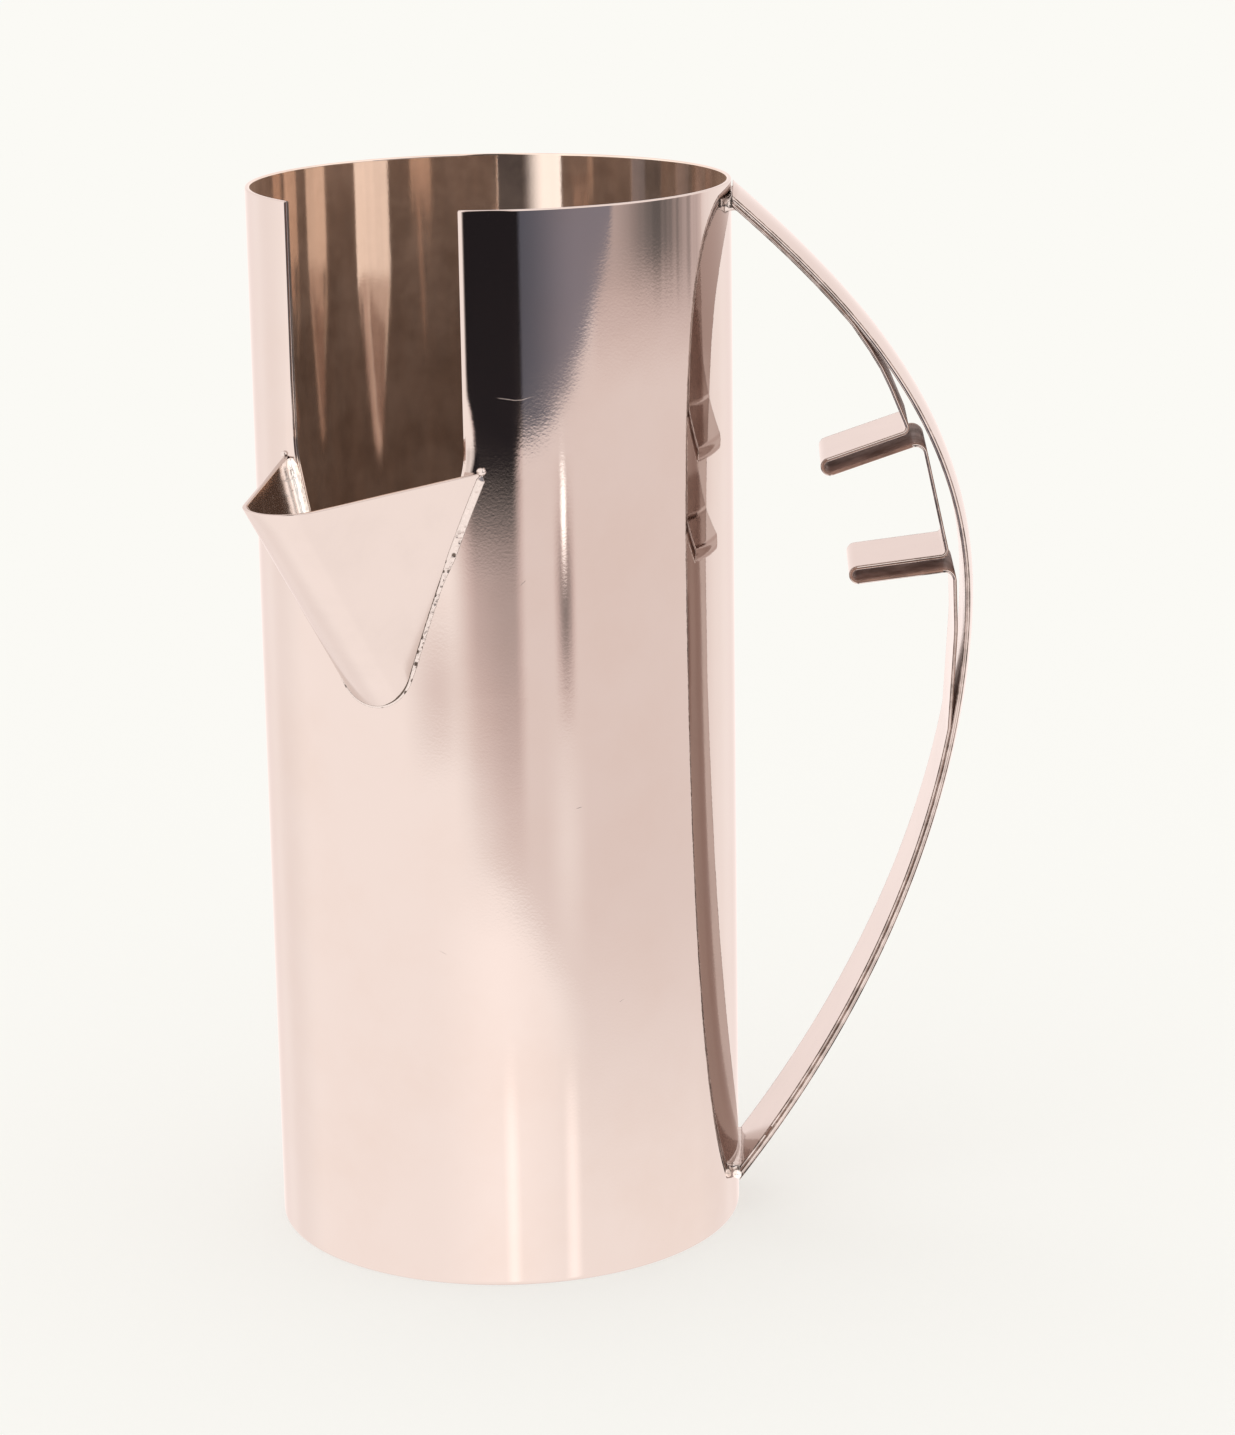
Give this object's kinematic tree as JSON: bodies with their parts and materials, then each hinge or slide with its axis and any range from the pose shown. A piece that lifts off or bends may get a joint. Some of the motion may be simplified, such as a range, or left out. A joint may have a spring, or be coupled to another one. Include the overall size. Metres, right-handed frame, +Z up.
{
  "type": "water pitcher",
  "caption": "Tall straight-sided silver water pitcher: rim window with a folded V spout below it, and a bowed strap handle with finger rests.",
  "frame": {"origin": "centre of the underside of the base, on the body's axis", "axes": "+Z up along the body's axis, +X from the axis towards the handle; the spout points 116.6 degrees clockwise from the handle, seen from above"},
  "size_m": [0.1532, 0.1314, 0.228],
  "materials": {
    "brushed_silver": "bright silver with fine lengthwise brushing and light wear",
    "polished_silver": "polished silver with light wear",
    "silver_solder": "bright silver solder, slightly uneven"
  },
  "bodies": {
    "root": {"body_tube": "brushed_silver", "base_disc": "brushed_silver", "spout_sheet": "brushed_silver", "handle_outer_strap": "polished_silver", "handle_inner_ribbon": "polished_silver", "base_solder_ring": "silver_solder", "spout_seam_solder": "silver_solder", "spout_corner_solder_left": "silver_solder", "spout_corner_solder_right": "silver_solder", "handle_top_solder": "silver_solder", "handle_foot_solder": "silver_solder"}
  },
  "joints": []
}
